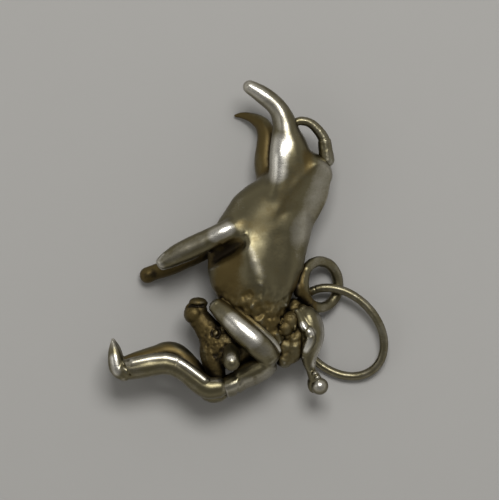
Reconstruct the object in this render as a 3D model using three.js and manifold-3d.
// Bull charm: a cast silver bull with a man clinging to its lowered head, and the rings that it hangs by.
// Millimetres, +Z up. The charm lies on its side on the plane z = 0: the bull's legs reach towards -X
// and +Y, the rings lie towards +X, and "near" pieces are the upper ones, "far" pieces the lower ones.
// The origin is the middle of the charm's footprint.

import * as THREE from "three";
import Module from "manifold-3d";

const wasm = await Module();
wasm.setup();

// Fits
const solderGap = 0.04; // silver solder between two pieces that are soldered together
const ringPlay = 0.15; // air between the jump ring and the bail's wire where the one lies on the other

// Heights above the surface
const spineHeight = 3.5; // the bull's mid-plane
const manHeight = 3.55; // the man's mid-plane

// Trunk of the bull: rump to withers
const trunkLength = 12.3;
const trunkHalfWidth = 4.4; // back to chest, at the shoulders
const trunkHalfDepth = 2.75; // flank to flank
const rumpX = 5.83;
const rumpY = 6.53;
const flatBackReach = 1.55; // the rump's middle to the flat along the loin
const flatBackHeading = -29; // degrees from +X: the way that the flat faces
const flatBackRise = 47; // degrees that it faces upwards

// Neck with its curly poll
const neckLength = 6;
const neckHalfWidth = 3.85;
const neckHalfDepth = 2.45;

// Head: poll to muzzle, and the horns
const headLength = 6.35;
const foreheadHalfWidth = 2.05;
const foreheadHalfDepth = 1.65;
const noseRadius = 1;
const muzzleRadius = 1.05;
const hornReach = 1.5; // along the charm
const nearHornRise = 2.5;
const farHornRise = -1.75;
const hornBaseRadius = 0.75;
const hornTipRadius = 0.62;

// Hind legs: hip to hoof; the near one has a crest along it
const nearHindLength = 11.22;
const nearHindRise = 1;
const nearHipRadius = 1.77;
const nearHockRadius = 1.17;
const nearHindHoofRadius = 0.56;
const hindCrestLength = 11.7;
const hindCrestRise = 0.35;
const hindCrestRadius = 0.96;
const hindCrestTipRadius = 0.44;
const farHindLength = 9;
const farHipRadius = 0.95;
const farHockRadius = 0.76;
const farHindHoofRadius = 0.2; // this hoof's tip rests on the surface

// Forelegs: shoulder to hoof
const nearForeLength = 10.5;
const nearShoulderRadius = 1.1;
const nearKneeRadius = 1.04;
const nearForeHoofRadius = 0.52;
const nearForeHeight = 5.2;
const nearForeRise = -0.3;
const farForeLength = 9.1;
const farShoulderRadius = 1;
const farKneeRadius = 0.88;
const farForeHoofRadius = 0.74; // this hoof rests on the surface

// Tail: a wire from the rump that is soldered to the near hind leg
const tailLength = 6.1;
const tailRise = 0.5;
const tailRootRadius = 0.55;
const tailTipRadius = 0.42;

// Man: jacket, sash, breeches
const shoulderReachX = 0.09; // end of the bull's neck to the man's shoulders
const shoulderReachY = -2.22;
const jacketLength = 3;
const jacketHalfWidth = 1.2; // chest to back
const shoulderHalfSpan = 2.05; // mid-plane to shoulder
const sashLength = 1.6;
const sashHalfWidth = 1.05;
const sashHalfSpan = 1.78;
const breechesLength = 2.3;
const breechesHalfWidth = 1.14;
const breechesHalfSpan = 1.75;

// Man: arms round the bull's head
const armLength = 7;
const armHalfWidth = 1.13;
const armHalfDepth = 0.9;
const wristRadius = 0.72;
const armRoot = 0.6; // the shoulder's distance from the mid-plane, as a share of the arm's
const armBow = 0.4; // outward bow, as a share of the arm's distance from the mid-plane
const nearArmHeight = 5.85;
const farArmHeight = 1.25;

// Man: legs with stockings, and pointed shoes
const nearLegLength = 8.7;
const farLegLength = 9.73;
const thighRadius = 1;
const calfRadius = 0.84;
const ankleRadius = 0.66;
const legSpacing = 1.9; // near leg to far leg, between their centre lines
const farHipDrop = 0.18; // the far hip lies this much further towards -Y
const shoeLength = 2.9;
const heelRadius = 0.68;
const toeRadius = 0.2;

// Man: head, stocking cap and tassel
const chinReachX = 2.06; // shoulders to chin
const chinReachY = 2.7;
const headRadius = 1.15;
const headHeight = 1.25; // half of chin to crown
const capLength = 5.4;
const capHalfWidth = 0.84;
const capHalfDepth = 1.15;
const capEndRadius = 0.42;
const tasselLength = 2.25;
const tasselNeckRadius = 0.48;
const tasselBallRadius = 0.93;

// Bail: a ring soldered to the withers
const bailRadius = 2.1; // to the wire's centre
const bailWireRadius = 0.5;
const bailTilt = 37; // degrees: its right-hand strand lies on the surface
const bailReachX = 6.03; // withers to the bail's middle
const bailReachY = 0.17;

// Jump ring: an oval of thinner wire through the bail
const jumpLongRadius = 4.25; // to the wire's centre
const jumpShortRadius = 3.5; // to the wire's centre
const jumpWireRadius = 0.36;
const jumpLongHeading = -45; // degrees from +X: the way that the oval is longest
const jumpRiseHeading = 66; // degrees from +X: the way that the ring's plane rises
const jumpCrossTurn = 134; // degrees round the jump ring to where it lies on the bail
const bailCrossTurn = -20; // degrees round the bail to the same place

// Facets
const bodySides = 20;
const limbSides = 14;
const wireSides = 10;
const stepsPerBone = 2; // rings of facets for each bone of a form
const domeRings = 2;

const { degToRad, lerp } = THREE.MathUtils;
const skyward = new THREE.Vector3(0, 0, 1);
const sideways = new THREE.Vector3(1, 0, 0);

// The point beside another by x, y and z
function beside(point, x, y, z = 0) {
  return point.clone().add(new THREE.Vector3(x, y, z));
}

// The way of a compass heading and of a rise above the level, both in degrees
function direction(heading, rise) {
  const turn = degToRad(heading);
  const lift = degToRad(rise);
  return new THREE.Vector3(
    Math.cos(lift) * Math.cos(turn), Math.cos(lift) * Math.sin(turn), Math.sin(lift));
}

// Points along a run of equal bones from root, one compass heading in degrees for each bone
function boneLine(root, length, rise, headings) {
  const stride = length / headings.length;
  const points = [root.clone()];
  for (const heading of headings) {
    const turn = degToRad(heading);
    const step = new THREE.Vector3(
      stride * Math.cos(turn), stride * Math.sin(turn), rise / headings.length);
    points.push(points.at(-1).clone().add(step));
  }
  return points;
}

// Closed solid from rings of points: each ring has as many points, and a pole closes each end
function skin(rings, startPole, endPole) {
  const sides = rings[0].length;
  const points = [...rings.flat(), startPole, endPole];
  const start = points.length - 2;
  const end = points.length - 1;
  const last = (rings.length - 1) * sides;
  const faces = [];
  for (let side = 0; side < sides; side++) {
    const next = (side + 1) % sides;
    faces.push(start, next, side, end, last + side, last + next);
    for (let ring = 0; ring < rings.length - 1; ring++) {
      const here = ring * sides;
      const there = here + sides;
      faces.push(here + side, here + next, there + next, here + side, there + next, there + side);
    }
  }
  return solidFrom(points, faces);
}

function solidFrom(points, faces) {
  const vertProperties = new Float32Array(points.flatMap((point) => point.toArray()));
  return new wasm.Manifold(new wasm.Mesh({ numProp: 3, vertProperties, triVerts: new Uint32Array(faces) }));
}

// A tapering form along points: wide and deep are its half sizes, spread evenly along it. Its ends are
// domes, and an end's bulge is the dome's length over its radius. solid(grow) is the form, or one that
// is larger all round by grow.
function taperedForm({ points, wide, deep = wide, sides = limbSides, bulge = [1, 1], upright = skyward }) {
  const path = new THREE.CatmullRomCurve3(points, false, "centripetal");
  const widths = new THREE.SplineCurve(wide.map((size, i) => new THREE.Vector2(i, size)));
  const depths = new THREE.SplineCurve(deep.map((size, i) => new THREE.Vector2(i, size)));

  function ringAt(t, grow, shrink, shift) {
    const tangent = path.getTangent(t);
    const across = upright.clone().cross(tangent).normalize();
    const up = tangent.clone().cross(across);
    const centre = path.getPoint(t).addScaledVector(tangent, shift);
    const halfWidth = (widths.getPoint(t).y + grow) * shrink;
    const halfDepth = (depths.getPoint(t).y + grow) * shrink;
    return Array.from({ length: sides }, (_, side) => {
      const turn = (2 * Math.PI * side) / sides;
      return centre.clone()
        .addScaledVector(across, halfWidth * Math.cos(turn))
        .addScaledVector(up, halfDepth * Math.sin(turn));
    });
  }

  function domeReach(t, grow, end) {
    return (Math.min(widths.getPoint(t).y, depths.getPoint(t).y) * bulge[end]) + grow;
  }

  function solid(grow = 0) {
    const rings = [];
    const reach = [domeReach(0, grow, 0), domeReach(1, grow, 1)];
    for (let ring = domeRings; ring > 0; ring--) {
      const turn = (Math.PI / 2) * (ring / (domeRings + 1));
      rings.push(ringAt(0, grow, Math.cos(turn), -reach[0] * Math.sin(turn)));
    }
    const steps = (points.length - 1) * stepsPerBone;
    for (let step = 0; step <= steps; step++) {
      rings.push(ringAt(step / steps, grow, 1, 0));
    }
    for (let ring = 1; ring <= domeRings; ring++) {
      const turn = (Math.PI / 2) * (ring / (domeRings + 1));
      rings.push(ringAt(1, grow, Math.cos(turn), reach[1] * Math.sin(turn)));
    }
    const startPole = path.getPoint(0).addScaledVector(path.getTangent(0), -reach[0]);
    const endPole = path.getPoint(1).addScaledVector(path.getTangent(1), reach[1]);
    return skin(rings, startPole, endPole);
  }

  // The form's part between two shares of its length, with domes of its own
  function stretch(start, end, ends) {
    const shares = [0, 0.25, 0.5, 0.75, 1].map((share) => lerp(start, end, share));
    return taperedForm({
      points: shares.map((share) => path.getPoint(share)),
      wide: shares.map((share) => widths.getPoint(share).y),
      deep: shares.map((share) => depths.getPoint(share).y),
      sides,
      bulge: ends,
      upright,
    });
  }

  return { solid, stretch, at: (t) => path.getPoint(t) };
}

// Two forms that are cast as one
function castForms(first, second) {
  return { solid: (grow = 0) => first.solid(grow).add(second.solid(grow)) };
}

// A form without what lies beyond a plane through a point, which faces outwards
function trimmedForm(form, point, outwards) {
  const inwards = outwards.clone().negate();
  return { solid: (grow = 0) => form.solid(grow).trimByPlane(inwards.toArray(), inwards.dot(point) - grow) };
}

// A closed loop of round wire: place(turn) is the middle of the wire at a turn in radians
function wireLoop({ place, wireRadius, steps }) {
  function solid(grow = 0) {
    const points = [];
    const faces = [];
    const turnStep = (2 * Math.PI) / steps;
    for (let step = 0; step < steps; step++) {
      const centre = place(step * turnStep);
      const tangent = place((step + 0.5) * turnStep).sub(place((step - 0.5) * turnStep)).normalize();
      const across = skyward.clone().cross(tangent).normalize();
      const up = tangent.clone().cross(across);
      for (let side = 0; side < wireSides; side++) {
        const angle = (2 * Math.PI * side) / wireSides;
        points.push(centre.clone()
          .addScaledVector(across, (wireRadius + grow) * Math.cos(angle))
          .addScaledVector(up, (wireRadius + grow) * Math.sin(angle)));
        const next = (side + 1) % wireSides;
        const here = step * wireSides;
        const there = ((step + 1) % steps) * wireSides;
        faces.push(here + side, here + next, there + next, here + side, there + next, there + side);
      }
    }
    return solidFrom(points, faces);
  }
  return { solid };
}

// Bull
const rump = new THREE.Vector3(rumpX, rumpY, spineHeight);
const trunk = taperedForm({
  points: boneLine(rump, trunkLength, 0, [231, 230, 232, 243, 255, 268]),
  wide: [0.45, 0.68, 0.77, 0.9, 0.99, 1, 0.89].map((share) => share * trunkHalfWidth),
  deep: [0.7, 0.86, 0.94, 0.98, 1, 1, 0.95].map((share) => share * trunkHalfDepth),
  sides: bodySides,
});

// The trunk's flat ends in a long dome of the shoulders
const backward = direction(flatBackHeading, flatBackRise);
const loin = trimmedForm(
  trunk.stretch(0, 0.7, [0.75, 0.6]), rump.clone().addScaledVector(backward, flatBackReach), backward);
const trunkBody = castForms(loin, trunk.stretch(0.6, 1, [2.2, 0.5]));

const neck = taperedForm({
  points: boneLine(trunk.at(0.9), neckLength, 0, [276, 280, 284, 287]),
  wide: [1, 0.98, 0.88, 0.76, 0.6].map((share) => share * neckHalfWidth),
  deep: [0.98, 1, 0.95, 0.84, 0.7].map((share) => share * neckHalfDepth),
  sides: bodySides,
  bulge: [0.4, 0.75],
});

const poll = beside(neck.at(1), -0.494 * neckHalfWidth, -0.034 * neckHalfWidth);
const head = taperedForm({
  points: boneLine(poll, headLength, 0, [204, 175, 132, 126, 128]),
  wide: [0.95, 1, 0.95, 0, 0, 0].map((share) => lerp(noseRadius, foreheadHalfWidth, share)),
  deep: [0.95, 1, 0.95, 0.25, 0, 0].map((share) => lerp(muzzleRadius, foreheadHalfDepth, share)),
});

function horn(rise) {
  return taperedForm({
    points: boneLine(beside(head.at(0.27), 0, 0, 0.25 * rise), hornReach, rise, [266, 270, 276]),
    wide: [hornBaseRadius, lerp(hornBaseRadius, hornTipRadius, 0.4), hornTipRadius],
    upright: sideways,
  });
}

const nearHip = beside(
  trunk.at(0.16), -0.157 * trunkHalfWidth, -0.18 * trunkHalfWidth, 0.182 * trunkHalfDepth);
const nearHaunch = taperedForm({
  points: boneLine(nearHip, nearHindLength, nearHindRise, [91, 93, 99, 100, 116, 138, 147]),
  wide: [0.9 * nearHipRadius, nearHipRadius, nearHipRadius, lerp(nearHockRadius, nearHipRadius, 0.65),
    nearHockRadius, lerp(nearHindHoofRadius, nearHockRadius, 0.6),
    lerp(nearHindHoofRadius, nearHockRadius, 0.45), nearHindHoofRadius],
});
const hindCrest = taperedForm({
  points: boneLine(beside(nearHip, -0.76 * nearHipRadius, -0.45 * nearHipRadius, 0.5 * nearHipRadius),
    hindCrestLength, hindCrestRise, [91, 90, 86, 84, 105, 136, 142]),
  wide: [0.5, 0.9, 1, 0.87, 0.62, 0.38, 0.25, 0].map(
    (share) => lerp(hindCrestTipRadius, hindCrestRadius, share)),
});
const nearHindLeg = castForms(nearHaunch, hindCrest);

const farHip = beside(
  trunk.at(0.3), -0.522 * trunkHalfWidth, 0.118 * trunkHalfWidth, -0.345 * trunkHalfDepth);
const farHindLeg = taperedForm({
  points: boneLine(farHip, farHindLength, farHindHoofRadius - farHip.z, [86, 85, 86, 90, 112, 148, 172]),
  wide: [farHipRadius, farHockRadius, farHockRadius, farHindHoofRadius],
});

const nearShoulder = beside(trunk.at(0.6), 0.043 * trunkHalfWidth, 0.25 * trunkHalfWidth)
  .setZ(nearForeHeight);
const nearForeLeg = taperedForm({
  points: boneLine(nearShoulder, nearForeLength, nearForeRise, [194, 199, 208, 205, 203]),
  wide: [nearShoulderRadius, nearKneeRadius, nearKneeRadius, nearKneeRadius,
    lerp(nearForeHoofRadius, nearKneeRadius, 0.6), nearForeHoofRadius],
  bulge: [1, 0.3],
});

const farShoulder = beside(
  trunk.at(0.64), -0.486 * trunkHalfWidth, 0.08 * trunkHalfWidth, -0.436 * trunkHalfDepth);
const farForeLeg = taperedForm({
  points: boneLine(farShoulder, farForeLength, farForeHoofRadius - farShoulder.z, [208, 207, 206, 203, 199]),
  wide: [farShoulderRadius, farKneeRadius, farForeHoofRadius],
});

const tailHead = beside(trunk.at(0), 0.352 * trunkHalfWidth, 0);
const tail = taperedForm({
  points: boneLine(tailHead, tailLength, tailRise, [93, 106, 130, 152, 184]),
  wide: [tailRootRadius, lerp(tailRootRadius, tailTipRadius, 0.5), tailTipRadius],
  sides: wireSides,
});

// Man
const shoulders = beside(neck.at(1), shoulderReachX, shoulderReachY).setZ(manHeight);
const jacket = taperedForm({
  points: boneLine(shoulders, jacketLength, 0, [216, 209, 208]),
  wide: [0.92, 1, 1, 0.88].map((share) => share * jacketHalfWidth),
  deep: [1, 1, 0.93, 0.83].map((share) => share * shoulderHalfSpan),
  sides: bodySides,
  bulge: [1.1, 0.25],
});

const sash = taperedForm({
  points: boneLine(jacket.at(0.97), sashLength, 0, [208, 203]),
  wide: [0.93, 1, 0.93].map((share) => share * sashHalfWidth),
  deep: [0.96, 1, 0.96].map((share) => share * sashHalfSpan),
  sides: bodySides,
  bulge: [0.2, 0.2],
});

const breeches = taperedForm({
  points: boneLine(sash.at(0.85), breechesLength, 0, [200, 190, 165]),
  wide: [0.9, 1, 0.95, 0.8].map((share) => share * breechesHalfWidth),
  deep: [0.94, 1, 1, 0.9].map((share) => share * breechesHalfSpan),
  sides: bodySides,
  bulge: [0.2, 0.6],
});

// An arm bows outwards, away from the mid-plane, between the shoulder and the hand
function arm(height) {
  const root = beside(shoulders, 0.18 * armHalfWidth, 0.22 * armHalfWidth)
    .setZ(lerp(manHeight, height, armRoot));
  const points = boneLine(root, armLength, 0, [134, 136, 136, 136]);
  points.forEach((point, bone) => {
    point.z += armBow * (height - manHeight) * Math.sin((Math.PI * bone) / (points.length - 0.4));
  });
  return taperedForm({
    points,
    wide: [0.56, 1, 1, 0.68, 0].map((share) => lerp(wristRadius, armHalfWidth, share)),
    deep: [1.1, 1.04, 1, 0.93, 0.7].map((share) => share * armHalfDepth),
    bulge: [0.6, 0.8],
  });
}

// The ankles meet, although the far hip is set back and its knee is raised
function leg(side, length, drop, headings) {
  const hip = beside(breeches.at(0.7), 0, 0.08 * thighRadius - drop, (side * legSpacing) / 2);
  return taperedForm({
    points: boneLine(hip, length, 0, headings),
    wide: [thighRadius, lerp(thighRadius, calfRadius, 0.25), lerp(thighRadius, calfRadius, 0.56),
      lerp(thighRadius, calfRadius, 0.8), calfRadius, lerp(calfRadius, ankleRadius, 0.45), ankleRadius],
  });
}

function shoe(ankle) {
  const heel = beside(ankle, -0.3 * heelRadius, -0.6 * heelRadius);
  return taperedForm({
    points: boneLine(heel, shoeLength, 0, [95, 99, 108]),
    wide: [0, 0.45, 0.75, 1].map((share) => lerp(heelRadius, toeRadius, share)),
    deep: [0, 0, 0.4, 1].map((share) => lerp(heelRadius, toeRadius, share)),
  });
}

const nearLeg = leg(1, nearLegLength, 0, [147, 143, 157, 179, 190, 190]);
const farLeg = leg(-1, farLegLength, farHipDrop, [129, 130, 149, 188, 195, 199]);

const chin = beside(shoulders, chinReachX, chinReachY);
const manHead = taperedForm({
  points: boneLine(chin, headHeight, 0, [70, 70]),
  wide: [0.8, 1, 0.82].map((share) => share * headRadius),
  bulge: [0.7, 0.8],
});

const brow = beside(chin, 0.965 * headRadius, 1.49 * headHeight);
const cap = taperedForm({
  points: boneLine(brow, capLength, 0, [310, 278, 266, 258, 262]),
  wide: [0.55, 0.95, 1, 0.85, 0].map((share) => lerp(capEndRadius, capHalfWidth, share)),
  deep: [0.5, 0.95, 1, 0.7, 0].map((share) => lerp(capEndRadius, capHalfDepth, share)),
});

const tassel = taperedForm({
  points: boneLine(cap.at(0.98), tasselLength, 0, [300, 298, 296]),
  wide: [tasselNeckRadius, lerp(tasselNeckRadius, tasselBallRadius, 0.4), tasselBallRadius,
    0.85 * tasselBallRadius],
});

// Rings
const bailLean = degToRad(bailTilt);
const bailHeight = bailWireRadius + bailRadius * Math.sin(bailLean);
const bailMiddle = beside(trunk.at(1), bailReachX, bailReachY).setZ(bailHeight);
function onBail(turn) {
  return beside(
    bailMiddle,
    bailRadius * Math.cos(turn) * Math.cos(bailLean),
    bailRadius * Math.sin(turn),
    -bailRadius * Math.cos(turn) * Math.sin(bailLean));
}
const bail = wireLoop({ place: onBail, wireRadius: bailWireRadius, steps: 28 });

// The jump ring lies on the bail's right-hand strand and slopes down to the surface
function onOval(turn) {
  const point = new THREE.Vector3(jumpLongRadius * Math.cos(turn), jumpShortRadius * Math.sin(turn), 0);
  return point.applyAxisAngle(skyward, degToRad(jumpLongHeading));
}
const uphill = sideways.clone().applyAxisAngle(skyward, degToRad(jumpRiseHeading));
const downhillReach = Math.hypot(
  jumpLongRadius * Math.cos(degToRad(jumpRiseHeading - jumpLongHeading)),
  jumpShortRadius * Math.sin(degToRad(jumpRiseHeading - jumpLongHeading)));
const crossing = onBail(degToRad(bailCrossTurn));
const crossingOnOval = onOval(degToRad(jumpCrossTurn));
const crossingHeight = crossing.z + bailWireRadius + ringPlay + jumpWireRadius;
const slope = (crossingHeight - jumpWireRadius) / (crossingOnOval.dot(uphill) + downhillReach);
const jumpRing = wireLoop({
  place: (turn) => {
    const point = onOval(turn);
    const height = jumpWireRadius + slope * (point.dot(uphill) + downhillReach);
    return point.sub(crossingOnOval).add(crossing).setZ(height);
  },
  wireRadius: jumpWireRadius,
  steps: 36,
});

// Pieces in the order in which they are seated: each is cut back to a solder gap from those before it
const silver = { color: 0x9c9588, roughness: 0.32, metalness: 1 };
const tarnished = { color: 0x6e624a, roughness: 0.55, metalness: 0.9 };
const seated = [
  ["man_arm_near", arm(nearArmHeight), silver],
  ["man_arm_far", arm(farArmHeight), silver],
  ["bull_trunk", trunkBody, silver],
  ["bull_neck", neck, tarnished],
  ["bull_head", head, tarnished],
  ["horn_near", horn(nearHornRise), silver],
  ["horn_far", horn(farHornRise), silver],
  ["hind_leg_near", nearHindLeg, silver],
  ["hind_leg_far", farHindLeg, tarnished],
  ["fore_leg_near", nearForeLeg, silver],
  ["fore_leg_far", farForeLeg, silver],
  ["tail", tail, silver],
  ["man_sash", sash, silver],
  ["man_jacket", jacket, silver],
  ["man_breeches", breeches, silver],
  ["man_leg_near", nearLeg, silver],
  ["man_leg_far", farLeg, tarnished],
  ["man_shoe_near", shoe(nearLeg.at(1)), silver],
  ["man_shoe_far", shoe(farLeg.at(1)), tarnished],
  ["man_head", manHead, tarnished],
  ["cap", cap, silver],
  ["cap_tassel", tassel, silver],
  ["bail_ring", bail, silver],
];

function pieceMesh(name, solid, finish) {
  const { vertProperties, triVerts } = solid.getMesh();
  const geometry = new THREE.BufferGeometry();
  geometry.setAttribute("position", new THREE.BufferAttribute(new Float32Array(vertProperties), 3));
  geometry.setIndex(new THREE.BufferAttribute(new Uint32Array(triVerts), 1));
  geometry.computeVertexNormals();
  const mesh = new THREE.Mesh(geometry, new THREE.MeshStandardMaterial(finish));
  mesh.name = name;
  return mesh;
}

// The largest body that a cut leaves, without the slivers beside it
function largestBody(solid) {
  return solid.decompose().reduce((best, body) => (body.volume() > best.volume() ? body : best));
}

const charm = new THREE.Group();
seated.forEach(([name, form, finish], index) => {
  let solid = form.solid();
  for (const [, earlier] of seated.slice(0, index)) {
    solid = solid.subtract(earlier.solid(solderGap));
  }
  charm.add(pieceMesh(name, largestBody(solid), finish));
});
charm.add(pieceMesh("jump_ring", jumpRing.solid(), silver));

const extent = new THREE.Box3().setFromObject(charm);
const middle = extent.getCenter(new THREE.Vector3());
charm.position.set(-middle.x, -middle.y, -extent.min.z);

export default charm;
